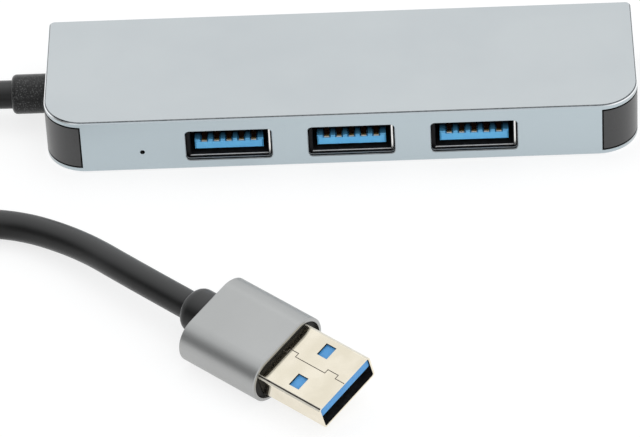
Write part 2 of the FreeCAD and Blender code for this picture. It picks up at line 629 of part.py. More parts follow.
# ---------------------------------------------------------------- lead at the hub
BOOT_END = "(-hub_length / 2 - boot_length)"
SKIN_INSIDE = "(-hub_length / 2 + cap_skin)"
JACKET_END = f"({SKIN_INSIDE} + flange_thickness + fit_gap + jacket_inside)"


def hub_boot():
    """The strain relief: a barrel outside the cap, a neck through it and a flange behind."""
    barrel = rod((BOOT_END, "lead_y", "lead_height"), "lead_diameter / 2 + boot_wall", "boot_length", "x",
                 "barrel")
    barrel = rounded(barrel, "boot_round", lambda edge: middle(edge).x < size(BOOT_END) + 1e-6,
                     "barrel_round")
    neck_start = "(-hub_length / 2 - boot_length / 2)"
    neck = rod((neck_start, "lead_y", "lead_height"), f"{NECK_DIAMETER} / 2",
               f"{SKIN_INSIDE} + contact_gap + flange_thickness - {neck_start}", "x", "neck")
    flange_low = (f"{SKIN_INSIDE} + contact_gap", "lead_y - flange_width / 2",
                  f"lead_height - {NECK_DIAMETER} / 2")
    flange = block(flange_low, ("flange_thickness", "flange_width", NECK_DIAMETER), "flange")
    bore = rod((f"{BOOT_END} - boot_length", "lead_y", "lead_height"), "lead_diameter / 2 + contact_gap",
               "3 * boot_length", "x", "bore")
    return sub_part(cut(fuse([barrel, neck, flange], "boot_body"), [bore], "boot_cut"), "lead_boot")


def inner_jacket():
    """The stripped end of the lead inside the boot."""
    tail = rod((BOOT_END, "lead_y", "lead_height"), "lead_diameter / 2", f"{JACKET_END} - {BOOT_END}", "x",
               "tail")
    return sub_part(tail, "lead_jacket_end")


def arc_path(points, share=0.45, radii=None):
    """Straight runs joined by tangent arcs, each as large as its two runs allow."""
    edges = []
    start = points[0]
    for before, corner, after in zip(points, points[1:], points[2:]):
        back = (before - corner)
        ahead = (after - corner)
        turn = math.pi - back.getAngle(ahead)
        reach = share * min(back.Length, ahead.Length)
        radius = reach / math.tan(turn / 2)
        if radii is not None:
            radii.append(radius)
        enter = corner + back.normalize() * reach
        leave = corner + ahead.normalize() * reach
        inward = (back + ahead).normalize()
        mid = corner + inward * (radius / math.cos(turn / 2) - radius)
        edges.append(Part.LineSegment(start, enter).toShape())
        edges.append(Part.Arc(enter, mid, leave).toShape())
        start = leave
    edges.append(Part.LineSegment(start, points[-1]).toShape())
    return Part.Wire(edges)


def swept(path, diameter):
    """A round solid along a path."""
    start = path.Edges[0]
    ahead = start.tangentAt(start.FirstParameter)
    ring = Part.Wire(Part.Circle(start.valueAt(start.FirstParameter), ahead, diameter / 2).toShape())
    return path.makePipeShell([ring], True, True)


JOINT_START = (f"({PORTS_LEFT} + controller_aside - controller_length / 2 - land_reach - land_length / 2"
               " - joint_gap - joint_length)")


def lead_wires():
    """Nine insulated cores fanned out from the jacket's end to their solder joints."""
    thick, pitch, bundle = size("wire_diameter"), size("wire_pitch"), size("bundle_pitch")
    start_x = size(JACKET_END)
    end_x = size(JOINT_START)
    fanned_x = end_x - size("wire_end")
    bend_x = fanned_x - size("fan_length")
    pad_z = size(f"{BOARD_UNDER} - wire_diameter / 2 - contact_gap")
    solids = {"lead_data_wires": [], "lead_power_wires": []}
    joints = []
    for place_number in range(9):
        column, level = divmod(place_number, 3)
        y = size("lead_y") + (column - 1) * bundle
        outermost_low = -1 if column == 2 else 1
        z = size("lead_height") + (level - 1) * outermost_low * bundle
        end_y = size("lead_y") + (place_number - 4) * pitch
        points = [V(start_x, y, z), V(bend_x, y, z), V(fanned_x, end_y, pad_z), V(end_x, end_y, pad_z)]
        name = "lead_power_wires" if place_number in (0, 8) else "lead_data_wires"
        wire = doc.addObject("Part::Feature", "wire")
        wire.Shape = swept(arc_path(points, share=0.3), thick)
        solids[name].append(wire)
        joints.append(under_board(f"{JOINT_START} + joint_length / 2", end_y, "joint_length", "joint_width",
                                  f"{thick} + contact_gap", "joint"))
    for name, wires in solids.items():
        sub_part(group(wires, name + "_group"), name)
    sub_part(group(joints, "joint_group"), "solder_joints")


# ---------------------------------------------------------------- plug, in its own frame
def plug_placement(thing):
    """Lay a piece of the plug at the lead's far end: origin at the sleeve's mouth, X out of it."""
    spot = f"create(<<vector>>; plug_x; plug_y; {PLUG_HEIGHT})"
    turn = "create(<<rotation>>; plug_yaw; 0; plug_bank)"
    thing.setExpression("Placement", bound(f"create(<<placement>>; {spot}; {turn})"))
    return thing


def stadium(low_x, length, width, thickness, name):
    """A flat bar with round sides, from its low X."""
    straight = f"(({width}) - ({thickness}))"
    bar = block((low_x, f"-{straight} / 2", f"-({thickness}) / 2"), (length, straight, thickness), name)
    ends = [rod((low_x, f"{side} * {straight} / 2", "0"), f"({thickness}) / 2", length, "x", name + "_side")
            for side in (-1, 1)]
    return fuse([bar] + ends, name + "_stadium")


def plug_sleeve():
    outer = stadium("-sleeve_length", "sleeve_length", SLEEVE_WIDTH, SLEEVE_THICKNESS, "sleeve_outer")
    outer = rounded(outer, "sleeve_bevel", lambda edge: not runs_along(edge, ALONG_X), "sleeve_bevel",
                    "Chamfer")
    inner = stadium("-2 * sleeve_length", "3 * sleeve_length", f"{SLEEVE_WIDTH} - 2 * sleeve_wall",
                    f"{SLEEVE_THICKNESS} - 2 * sleeve_wall", "sleeve_inner")
    return sub_part(plug_placement(cut(outer, [inner], "sleeve_cut")), "plug_sleeve")


def plug_core():
    """The black moulding inside the sleeve, round the metal tip."""
    width = f"({SLEEVE_WIDTH} - 2 * sleeve_wall - 2 * contact_gap)"
    thickness = f"({SLEEVE_THICKNESS} - 2 * sleeve_wall - 2 * contact_gap)"
    solid = stadium("-sleeve_length + contact_gap", "sleeve_length - contact_gap - core_recess", width,
                    thickness, "core")
    seat_low = [f"-{half} - contact_gap" for half in ("tip_root", "tip_width / 2", "tip_thickness / 2")]
    seat = block(seat_low, ("2 * tip_root", "tip_width + 2 * contact_gap", "tip_thickness + 2 * contact_gap"),
                 "tip_seat")
    bore = rod(("-sleeve_length - plug_neck_length", "0", "0"), "plug_neck_diameter / 2 + contact_gap",
               "2 * plug_neck_length + contact_gap", "x", "neck_bore")
    return sub_part(plug_placement(cut(solid, [seat, bore], "core_cut")), "plug_core")


def plug_boot():
    rear = "(-sleeve_length - plug_boot_length)"
    barrel = rod((rear, "0", "0"), "plug_boot_diameter / 2", "plug_boot_length", "x", "plug_barrel")
    barrel = rounded(barrel, "plug_boot_round", lambda edge: middle(edge).x < size(rear) + 1e-6,
                     "plug_barrel_round")
    neck = rod(("-sleeve_length - plug_neck_length", "0", "0"), "plug_neck_diameter / 2",
               "2 * plug_neck_length", "x", "plug_neck")
    return sub_part(plug_placement(fuse([barrel, neck], "plug_boot_body")), "plug_boot")


# the folded sheet's joint along the plug: where it steps, and whether it then runs beside the middle
SEAM_STEPS = [(-0.2, 0), (0.5, 1), (2.2, 0), (8.2, 1), (10.3, 0)]


def seam_grooves():
    """The joint's middle line, stepping aside round two interlocking tabs."""
    top = "tip_thickness / 2 - seam_depth"
    grooves = []
    ends = [start for start, aside in SEAM_STEPS[1:]] + ["2 * tip_length"]
    for (start, aside), end in zip(SEAM_STEPS, ends):
        grooves.append(block((start, f"{aside} * seam_tab - seam_width / 2", top),
                             (f"{end} - ({start}) + seam_width", "seam_width", "2 * seam_depth"), "groove"))
    for start, aside in SEAM_STEPS[1:]:
        grooves.append(block((start, "-seam_width / 2", top),
                             ("seam_width", "seam_tab + seam_width", "2 * seam_depth"), "step"))
    return grooves


def plug_tip():
    """The plug's metal shell: folded sheet with two windows above and two below."""
    def along_tip(edge):
        return runs_along(edge, ALONG_X)
    body = block(("-tip_root", "-tip_width / 2", "-tip_thickness / 2"),
                 ("tip_root + tip_length", "tip_width", "tip_thickness"), "tip_outer")
    body = rounded(body, "tip_corner", along_tip, "tip_round")
    inner_width, inner_thickness = "(tip_width - 2 * tip_sheet)", "(tip_thickness - 2 * tip_sheet)"
    inner = block(("-2 * tip_root", f"-{inner_width} / 2", f"-{inner_thickness} / 2"),
                  ("2 * (tip_root + tip_length)", inner_width, inner_thickness), "tip_inner")
    inner = rounded(inner, "tip_corner - tip_sheet", along_tip, "tip_inner_round")
    windows = [block(("window_centre - window_length / 2", f"{side} * window_spacing / 2 - window_width / 2",
                      "-tip_thickness"), ("window_length", "window_width", "2 * tip_thickness"), "window")
               for side in (-1, 1)]
    shell = cut(body, [inner] + windows + seam_grooves(), "tip_cut")
    return sub_part(plug_placement(shell), "plug_tip_shell")


BLADE_TOP = "(tip_thickness / 2 - tip_sheet - insulator_gap)"
BLADE_UNDER = f"({BLADE_TOP} - blade_thickness)"
BLADE_HALF = "(tip_width / 2 - tip_sheet - insulator_gap)"


def plug_insulator():
    """The blue blade under the seam side of the metal tip, thick at its root."""
    def upper_side(edge):
        return runs_along(edge, ALONG_X) and middle(edge).z > 0
    start = "(-tip_root + root_setback)"
    blade = block((start, f"-{BLADE_HALF}", BLADE_UNDER),
                  (f"tip_length - blade_setback - {start}", f"2 * {BLADE_HALF}", "blade_thickness"), "blade")
    blade = rounded(blade, "tip_corner - tip_sheet", upper_side, "blade_round")
    root_half = f"({BLADE_HALF} - tip_corner)"
    root = block((start, f"-{root_half}", f"-{BLADE_TOP}"),
                 ("root_length", f"2 * {root_half}", f"{BLADE_TOP} + {BLADE_UNDER} + root_setback"), "root")
    return sub_part(plug_placement(fuse([blade, root], "blade_body")), "plug_insulator")


def plug_contacts():
    """Four flat pads near the mouth and five springs behind them, on the blade's face."""
    low = f"{BLADE_UNDER} - pad_thickness"
    pad_start = "tip_length - blade_setback - pad_setback - pad_length"
    pads = [block((pad_start, f"{y} - pad_width / 2", low), ("pad_length", "pad_width", "pad_thickness"),
                  "pad")
            for y in USB2_X]
    springs = []
    for y in SUPERSPEED_X:
        strip = block(("spring_strip_start", f"{y} - tail_width", low),
                      ("spring_strip_length", "2 * tail_width", "pad_thickness"), "spring_strip")
        bump = rod(("spring_bump_place", f"{y} - tail_width", low), "spring_bump", "2 * tail_width", "y",
                   "spring_bump")
        above = block(("0", f"{y} - 2 * tail_width", BLADE_UNDER),
                      ("2 * spring_bump_place", "4 * tail_width", "blade_thickness"), "spring_trim")
        springs.append(cut(fuse([strip, bump], "spring"), [above], "spring_cut"))
    sub_part(plug_placement(group(pads, "pad_group")), "plug_usb2_contacts")
    sub_part(plug_placement(group(springs, "spring_group")), "plug_superspeed_contacts")


# ---------------------------------------------------------------- free lead
# Out to the left in one open loop on the surface and back to the plug. The run out of the hub's boot
# and the run into the plug's boot lie on their axes; these are the points between them.
ROUTE = [
    (-70.8, 4.0, 4.5), (-82.8, 12.9, 2.9), (-99.8, 13.9, 2.4), (-114.5, 3.8, 2.4), (-120.5, -12.6, 2.4),
    (-115.2, -29.3, 2.4), (-100.8, -39.3, 2.4), (-83.3, -38.5, 2.4), (-68.4, -29.3, 2.4),
    (-53.6, -29.2, 2.5), (-41.9, -36.4, 3.6),
]


def free_lead():
    yaw = math.radians(size("plug_yaw"))
    outward = V(math.cos(yaw), math.sin(yaw), 0)
    plug_mouth = V(size("plug_x"), size("plug_y"), size(PLUG_HEIGHT))
    start = V(size(BOOT_END), size("lead_y"), size("lead_height"))
    end = plug_mouth - outward * size("sleeve_length + plug_boot_length")
    first = start - V(size("first_run"), 0, 0)
    last = end - outward * size("last_run")
    points = [start, first] + [V(*point) for point in ROUTE] + [last, end]
    radii = []
    path = arc_path(points, radii=radii)
    lead = doc.addObject("Part::Feature", "lead")
    diameter = size("lead_diameter")
    lead.Shape = swept(path, diameter)
    expected = path.Length * math.pi * diameter ** 2 / 4
    print("lead radii", [round(radius, 1) for radius in radii])
    print("lead length", round(path.Length, 1), "volume over section times length",
          round(lead.Shape.Volume / expected, 4))
    return sub_part(lead, "lead")


# ---------------------------------------------------------------- assembly
housing_tube()
end_cap(-1, "left_end_cap")
end_cap(1, "right_end_cap")
circuit_board()
insulating_film()
hub_controller()
crystal()
voltage_regulator()
power_inductor()
behind_ports("port_fuses", "fuse")
behind_ports("port_capacitors", "bulk")
chip_parts("chip_capacitors", {PORTS_LEFT: LEFT_CAPACITORS, PORTS_RIGHT: RIGHT_CAPACITORS},
           "capacitor_thickness")
chip_parts("chip_resistors", {PORTS_LEFT: LEFT_RESISTORS, CAP_INNER: END_RESISTORS}, "resistor_thickness")
status_lamp()
for port_number, port_centre in enumerate(port_centres(), start=1):
    port_shell(port_number, port_centre)
    port_insulator(port_number, port_centre)
    superspeed_contacts(port_number, port_centre)
    usb2_contacts(port_number, port_centre)
hub_boot()
inner_jacket()
lead_wires()
plug_sleeve()
plug_core()
plug_boot()
plug_tip()
plug_insulator()
plug_contacts()
free_lead()
doc.recompute()

faults = [f"{thing.Name}: {thing.State}" for thing in doc.Objects
          if "Invalid" in thing.State or "Error" in thing.State]
faults += [f"{part.Label}: bad shape" for part in SUB_PARTS
           if part.Shape.isNull() or not part.Shape.isValid()]
if faults:
    raise RuntimeError("; ".join(faults))

os.makedirs("parts", exist_ok=True)
for part in SUB_PARTS:
    part.Shape.exportStep(f"parts/{part.Label}.step")
print(len(SUB_PARTS), "sub-parts,", sum(len(part.Shape.Solids) for part in SUB_PARTS), "solids")
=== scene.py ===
"""Looks of the slim three-port USB hub: materials, the free lead, the light, the floor and the camera.

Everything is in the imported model's own frame: +X along the housing away from the lead, +Y from the port
face to the back, +Z up. Places are in metres, and sizes that repeat the part's are in millimetres.
"""

import json
import math

import bpy
from mathutils import Matrix, Vector


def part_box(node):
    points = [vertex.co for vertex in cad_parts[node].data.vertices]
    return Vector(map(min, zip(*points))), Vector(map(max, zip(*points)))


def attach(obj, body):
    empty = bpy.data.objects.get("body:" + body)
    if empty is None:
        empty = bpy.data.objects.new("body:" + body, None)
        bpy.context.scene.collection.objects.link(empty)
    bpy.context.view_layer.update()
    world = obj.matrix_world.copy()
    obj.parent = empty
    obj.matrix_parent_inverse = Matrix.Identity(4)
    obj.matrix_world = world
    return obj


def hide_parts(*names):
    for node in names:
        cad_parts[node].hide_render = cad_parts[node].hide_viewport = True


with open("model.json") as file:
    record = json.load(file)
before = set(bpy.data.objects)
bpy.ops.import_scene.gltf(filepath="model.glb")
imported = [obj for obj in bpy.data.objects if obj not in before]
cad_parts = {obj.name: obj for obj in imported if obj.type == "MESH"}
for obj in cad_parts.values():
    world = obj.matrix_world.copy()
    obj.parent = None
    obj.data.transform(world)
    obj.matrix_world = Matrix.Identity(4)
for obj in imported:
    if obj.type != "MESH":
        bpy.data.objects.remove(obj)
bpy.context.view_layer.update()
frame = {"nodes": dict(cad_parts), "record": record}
RECORD = frame["record"]
NODES = frame["nodes"]
MM = 0.001


# ---------------------------------------------------------------- camera
CAMERA_TARGET = Vector((-3.7, -28.0, 0.0)) * MM
CAMERA_DISTANCE = 803 * MM
CAMERA_ELEVATION = math.radians(38.68)
CAMERA_YAW = math.radians(-1.86)
CAMERA_ROLL = math.radians(-3.13)
CAMERA_LENS = 283.0
SENSOR_WIDTH = 36.0
NEAR_LIMIT = 0.01
FAR_LIMIT = 20.0


def make_camera():
    """A long lens from the front, tipped a little to one side."""
    level = math.cos(CAMERA_ELEVATION)
    look = Vector((level * math.sin(CAMERA_YAW), level * math.cos(CAMERA_YAW), -math.sin(CAMERA_ELEVATION)))
    right = Vector((math.cos(CAMERA_YAW), -math.sin(CAMERA_YAW), 0))
    up = right.cross(look)
    right, up = (right * math.cos(CAMERA_ROLL) + up * math.sin(CAMERA_ROLL),
                 up * math.cos(CAMERA_ROLL) - right * math.sin(CAMERA_ROLL))
    data = bpy.data.cameras.new("camera")
    data.lens = CAMERA_LENS
    data.sensor_width = SENSOR_WIDTH
    data.clip_start = NEAR_LIMIT
    data.clip_end = FAR_LIMIT
    camera = bpy.data.objects.new("camera", data)
    bpy.context.scene.collection.objects.link(camera)
    turn = Matrix((right, up, -look)).transposed()
    camera.matrix_world = Matrix.Translation(CAMERA_TARGET - look * CAMERA_DISTANCE) @ turn.to_4x4()
    bpy.context.scene.camera = camera


# ---------------------------------------------------------------- node helpers
NOISE_LOW, NOISE_HIGH = 0.35, 0.65    # the range that most of a noise texture stays in
BAND_SOFTNESS = 0.03 * MM


def grey(level):
    return (level, level, level)


def maths(tree, operation, first, second):
    """One operation on two inputs, each a number or another node's output."""
    node = tree.nodes.new("ShaderNodeMath")
    node.operation = operation
    for socket, value in zip(node.inputs, (first, second)):
        if isinstance(value, (int, float)):
            socket.default_value = value
        else:
            tree.links.new(value, socket)
    return node.outputs[0]


def stretched(tree, factor, low, high, from_low, from_high, interpolation="LINEAR"):
    """A factor's range turned into another, and held inside it."""
    node = tree.nodes.new("ShaderNodeMapRange")
    node.interpolation_type = interpolation
    limits = {"From Min": from_low, "From Max": from_high, "To Min": low, "To Max": high}
    for name, value in limits.items():
        node.inputs[name].default_value = value
    tree.links.new(factor, node.inputs["Value"])
    return node.outputs["Result"]


class Shader:
    """A small builder for one procedural material."""

    def __init__(self, name):
        self.material = bpy.data.materials.new(name)
        self.material.use_nodes = True
        self.tree = self.material.node_tree
        self.surface = self.tree.nodes["Principled BSDF"]
        self.coordinates = self.add("ShaderNodeTexCoord").outputs["Object"]

    def add(self, kind, **values):
        """A new node, with its inputs and settings by name."""
        node = self.tree.nodes.new(kind)
        for name, value in values.items():
            if name in node.inputs:
                node.inputs[name].default_value = value
            else:
                setattr(node, name, value)
        return node

    def link(self, output, target):
        self.tree.links.new(output, target)

    def set(self, **values):
        """Fixed values of the surface, by input."""
        for name, value in values.items():
            self.surface.inputs[name.replace("_", " ")].default_value = value

    def drive(self, **outputs):
        """Outputs of other nodes that the surface follows, by input."""
        for name, output in outputs.items():
            self.link(output, self.surface.inputs[name.replace("_", " ")])

    def noise(self, scale, detail=2, roughness=0.5):
        node = self.add("ShaderNodeTexNoise", Scale=scale, Detail=detail, Roughness=roughness)
        self.link(self.coordinates, node.inputs["Vector"])
        return node.outputs["Fac"]

    def between(self, factor, low, high, from_low=NOISE_LOW, from_high=NOISE_HIGH):
        """A number between two, by a factor."""
        return stretched(self.tree, factor, low, high, from_low, from_high)

    def blend(self, factor, first, second, from_low=NOISE_LOW, from_high=NOISE_HIGH):
        """A colour between two, each a triple or another node's output, by a factor."""
        node = self.add("ShaderNodeMix", data_type="RGBA")
        self.link(self.between(factor, 0, 1, from_low, from_high), node.inputs[0])
        for socket, colour in ((node.inputs[6], first), (node.inputs[7], second)):
            if isinstance(colour, tuple):
                socket.default_value = (*colour, 1)
            else:
                self.link(colour, socket)
        return node.outputs[2]

    def part(self, vector, axis):
        """One of a vector's three numbers."""
        node = self.add("ShaderNodeSeparateXYZ")
        self.link(vector, node.inputs[0])
        return node.outputs[axis]

    def absolute(self, number):
        node = self.add("ShaderNodeMath", operation="ABSOLUTE")
        self.link(number, node.inputs[0])
        return node.outputs[0]

    def place(self, axis):
        """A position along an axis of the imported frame, in metres."""
        return self.part(self.coordinates, axis)

    def facing(self, axis):
        """How far a face looks along an axis, either way: 0 to 1."""
        return self.absolute(self.part(self.add("ShaderNodeNewGeometry").outputs["Normal"], axis))

    def band(self, axis, low, high):
        """1 between two places along an axis, with soft edges."""
        place = self.place(axis)
        return maths(self.tree, "MULTIPLY", self.between(place, 0, 1, low, low + BAND_SOFTNESS),
                     self.between(place, 1, 0, high - BAND_SOFTNESS, high))

    def bump(self, height, distance, strength):
        node = self.add("ShaderNodeBump", Strength=strength, Distance=distance)
        self.link(height, node.inputs["Height"])
        self.drive(Normal=node.outputs["Normal"])


def give(material, *names):
    """The material on every polygon of the named CAD nodes."""
    for name in names:
        mesh = NODES[name].data
        mesh.materials.clear()
        mesh.materials.append(material)


def paint(name, material, chosen, into=Matrix()):
    """The material on a node's polygons whose middle and normal pass a test.

    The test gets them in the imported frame, or in the one that a matrix leads to, in millimetres.
    """
    piece = NODES[name]
    turn = into @ piece.matrix_world
    mesh = piece.data
    mesh.materials.append(material)
    for polygon in mesh.polygons:
        if chosen(turn @ polygon.center / MM, (turn.to_3x3() @ polygon.normal).normalized()):
            polygon.material_index = len(mesh.materials) - 1


# ---------------------------------------------------------------- materials
def plain(name, low, high, roughness, metallic=0.0, specular=0.5):
    """A small part's material: two close colours mottled finely."""
    shader = Shader(name)
    shader.set(Metallic=metallic, Specular_IOR_Level=specular)
    cloud = shader.noise(900)
    shader.drive(Base_Color=shader.blend(cloud, low, high),
                 Roughness=shader.between(cloud, roughness - 0.06, roughness + 0.06))
    return shader.material


def aluminium(name, low, high, roughness, upright=None):
    """Bead-blasted, clear-anodised extrusion: a fine even sparkle over a faint cloud.

    Faces that look along Y may have a colour of their own, a painted shade of those faces.
    """
    shader = Shader(name)
    shader.set(Metallic=1.0)
    grain = shader.noise(9000, detail=3, roughness=0.6)
    cloud = shader.noise(60, detail=3, roughness=0.55)
    colour = shader.blend(cloud, low, high)
    # painted shade: faces looking along Y take the upright colour
    if upright:
        colour = shader.blend(shader.facing("Y"), colour, upright, 0.5, 0.9)
    shader.drive(Base_Color=colour, Roughness=shader.between(grain, roughness - 0.05, roughness + 0.05))
    shader.bump(grain, distance=0.012 * MM, strength=0.5)
    return shader.material


# where the chamfer's painted dark reflection begins and where it is full
DARK_LINE_START, DARK_LINE_FULL = 0.18, 0.14    # below the housing's top


def cut_edge(top):
    """The chamfer that the cutter leaves: a dark line above a bright one, brightest at corners, both painted
    reflections of a polished edge.
    """
    shader = Shader("cut_edge")
    shader.set(Metallic=1.0)
    # painted highlight: the chamfer is painted brighter where it turns towards the ends
    bright = shader.blend(shader.facing("X"), (0.50, 0.55, 0.58), (0.97, 0.98, 0.99), 0.05, 0.30)
    marks = shader.noise(2500, detail=3, roughness=0.6)
    # painted dark reflection along the upper part of the chamfer
    dark = shader.blend(marks, (0.10, 0.11, 0.12), (0.20, 0.21, 0.22))
    line = (top - DARK_LINE_START) * MM, (top - DARK_LINE_FULL) * MM
    shader.drive(Base_Color=shader.blend(shader.place("Z"), bright, dark, *line),
                 Roughness=shader.between(marks, 0.14, 0.24))
    return shader.material


# the black line round a cap is painted shade, for the gap where it meets the housing
JOINT_SIDE, JOINT_LEVEL, JOINT_SOFTNESS = 0.22, 0.28, 0.08    # the black line's widths round a cap


def black_abs(name, low, high, gloss, joint=None):
    """Moulded black: a fine spark-eroded texture.

    A joint is a cap's inner end along X and the heights of the plates under and over it. A dull black line
    of painted shade runs there, for the shadow in the gap where the cap meets the housing.
    """
    shader = Shader(name)
    grain = shader.noise(7000, roughness=0.6)
    colour = shader.blend(grain, low, high)
    if joint:
        inner, under, over = joint
        side = inner + JOINT_SIDE
        level = (over - under) / 2 - JOINT_LEVEL
        middle = (under + over) / 2
        off_centre = shader.absolute(shader.place("X"))
        off_middle = shader.absolute(maths(shader.tree, "SUBTRACT", shader.place("Z"), middle * MM))
        beyond_side = shader.between(off_centre, 0, 1, side * MM, (side + JOINT_SOFTNESS) * MM)
        within_level = shader.between(off_middle, 1, 0, (level - JOINT_SOFTNESS) * MM, level * MM)
        # clear is 0 on the line of painted shade and 1 away from it
        clear = maths(shader.tree, "MULTIPLY", beyond_side, within_level)
        colour = shader.blend(clear, grey(0.010), colour, 0, 1)
        shader.drive(Specular_IOR_Level=shader.between(clear, 0, 0.4, 0, 1),
                     Coat_Weight=shader.between(clear, 0, gloss, 0, 1))
    else:
        shader.set(Specular_IOR_Level=gloss, Coat_Weight=0.0)
    shader.drive(Base_Color=colour, Roughness=shader.between(grain, 0.36, 0.50))
    shader.set(Coat_Roughness=0.35, Coat_IOR=1.6)
    shader.bump(grain, distance=0.014 * MM, strength=0.6)
    return shader.material


def black_pvc(name, painted_top_light=grey(0.048), specks=None):
    """The lead's jacket and boots: satin, with an uneven sheen, upward faces painted lighter grey as a
    painted highlight, and maybe a speckle.
    """
    shader = Shader(name)
    grain = shader.noise(3500, detail=3, roughness=0.6)
    cloud = shader.noise(180)
    shader.set(Specular_IOR_Level=0.28, Sheen_Weight=0.38, Sheen_Roughness=0.35)
    black = shader.blend(cloud, grey(0.005), grey(0.009))
    # painted highlight: faces looking up are painted lighter grey
    colour = shader.blend(shader.facing("Z"), black, painted_top_light, 0.60, 1.0)
    if specks:
        colour = shader.blend(shader.noise(5200, detail=0), colour, specks, 0.56, 0.74)
    shader.drive(Base_Color=colour, Roughness=shader.between(grain, 0.30, 0.42))
    shader.bump(grain, distance=0.015 * MM, strength=0.5)
    return shader.material


def fading(name, low, high, gone, roughness, metallic, front, fade):
    """A material that darkens over a depth behind a port's mouth, where little light gets in."""
    shader = Shader(name)
    shader.set(Metallic=metallic)
    cloud = shader.noise(700)
    colour = shader.blend(cloud, low, high)
    shader.drive(Base_Color=shader.blend(shader.place("Y"), colour, gone, front * MM, (front + fade) * MM),
                 Roughness=shader.between(cloud, roughness - 0.06, roughness + 0.06))
    return shader.material


def nickel_plate():
    """Bright plated sheet, faintly warm, with soft rolling marks."""
    shader = Shader("nickel_plate")
    shader.set(Metallic=1.0)
    cloud = shader.noise(250, detail=3)
    shader.drive(Base_Color=shader.blend(cloud, (0.825, 0.755, 0.612), (0.900, 0.830, 0.692)),
                 Roughness=shader.between(cloud, 0.08, 0.13))
    return shader.material


def port_nickel(name, low_x, high_x):
    """A port's shell: painted near black as painted shade, with one bright upright streak in its front edge
    as a painted highlight.
    """
    shader = Shader(name)
    shader.set(Specular_IOR_Level=0.12)
    cloud = shader.noise(900)
    black = shader.blend(cloud, (0.006, 0.006, 0.007), (0.012, 0.012, 0.013))
    streak = shader.band("X", low_x * MM, high_x * MM)
    shader.drive(Base_Color=shader.blend(streak, black, (0.97, 0.96, 0.94), 0, 1), Metallic=streak,
                 Roughness=shader.between(cloud, 0.30, 0.40))
    return shader.material


def cutout_floor(low_y, high_y):
    """The lower wall of a cut-out: painted near black as painted shade, with one dim line along it as a
    painted highlight.
    """
    shader = Shader("cutout_floor")
    shader.set(Specular_IOR_Level=0.12)
    cloud = shader.noise(900)
    black = shader.blend(cloud, (0.012, 0.012, 0.013), (0.020, 0.020, 0.021))
    line = shader.band("Y", low_y * MM, high_y * MM)
    shader.drive(Base_Color=shader.blend(line, black, (0.34, 0.36, 0.37), 0, 1),
                 Roughness=shader.between(cloud, 0.40, 0.50))
    return shader.material


# ---------------------------------------------------------------- lead
LEAD_DIAMETER = 4.7 * MM
FIRST_RUN = 8.7 * MM
LAST_RUN = 12.0 * MM
TIP_LENGTH, SLEEVE_LENGTH, PLUG_BOOT_LENGTH = 12.15, 15.6, 4.5
PLUG_BEHIND_MOUTH = (TIP_LENGTH + SLEEVE_LENGTH + PLUG_BOOT_LENGTH) * MM
LEAD_HEIGHT = 5.0 * MM
LEAD_Y = 1.0 * MM
ROUTE = [
    (-70.8, 4.0, 4.5), (-82.8, 12.9, 2.9), (-99.8, 13.9, 2.4), (-114.5, 3.8, 2.4), (-120.5, -12.6, 2.4),
    (-115.2, -29.3, 2.4), (-100.8, -39.3, 2.4), (-83.3, -38.5, 2.4), (-68.4, -29.3, 2.4),
    (-53.6, -29.2, 2.5), (-41.9, -36.4, 3.6),
]


def plug_mount():
    """The middle of the plug's mouth, and the way it points."""
    mount = [entry for entry in RECORD["mounts"] if entry["name"] == "plug"][0]
    return Vector(mount["pos_m"]), Vector(mount["axis"]).normalized()


def free_lead():
    """The captive lead as one smooth curve from the hub's boot to the plug's."""
    mouth, outward = plug_mount()
    start = Vector((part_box("lead_boot")[0][0], LEAD_Y, LEAD_HEIGHT))
    end = mouth - outward * PLUG_BEHIND_MOUTH
    points = [start, start - Vector((FIRST_RUN, 0, 0))]
    points += [Vector(point) * MM for point in ROUTE]
    points += [end - outward * LAST_RUN, end]
    curve = bpy.data.curves.new("lead_curve", "CURVE")
    curve.dimensions = "3D"
    curve.bevel_depth = LEAD_DIAMETER / 2
    curve.bevel_resolution = 10
    curve.resolution_u = 24
    spline = curve.splines.new("NURBS")
    spline.points.add(len(points) - 1)
    for place, point in zip(spline.points, points):
        place.co = (*point, 1)
    spline.order_u = 3
    spline.use_endpoint_u = True
    piece = bpy.data.objects.new("free_lead", curve)
    bpy.context.scene.collection.objects.link(piece)
    curve.materials.append(black_pvc("lead_jacket"))
    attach(piece, "root")
    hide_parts("lead")


# ---------------------------------------------------------------- floor and light
OPENING_DIRECTION = (-0.84, -0.38, 0.38)
OPENING_INNER, OPENING_OUTER = 10, 37    # degrees from its middle, where it starts and ends to fade
OPENING_DARKNESS = 0.88
SKY_COLOUR = (0.975, 0.99, 1.0)
LAMP_PLACE = Vector((0.1, 0.35, 1.1))
LAMP_AIM = Vector((0, -0.02, 0))
LAMP_WIDTH, LAMP_DEPTH = 0.8, 0.5
LAMP_POWER = 0.9
FLOOR_SIZE = 12.0
FLOOR_OWN_WHITE = 0.755
FLOOR_LIT_COLOUR = grey(0.29)    # what the light adds to its own white, and the shadow takes away


def towards(tree, place, direction, inner, outer):
    """1 in a round patch of the sky, falling to 0 outside it; the limits are degrees from its middle."""
    dot = tree.nodes.new("ShaderNodeVectorMath")
    dot.operation = "DOT_PRODUCT"
    dot.inputs[1].default_value = Vector(direction).normalized()
    tree.links.new(place, dot.inputs[0])
    return stretched(tree, dot.outputs["Value"], 0, 1, math.cos(math.radians(outer)),
                     math.cos(math.radians(inner)), "SMOOTHSTEP")


def seen_directly(tree):
    """1 for rays from the camera, from a mirror or through glass."""
    path = tree.nodes.new("ShaderNodeLightPath")
    seen = maths(tree, "MAXIMUM", path.outputs["Is Camera Ray"], path.outputs["Is Glossy Ray"])
    return maths(tree, "MAXIMUM", seen, path.outputs["Is Transmission Ray"])


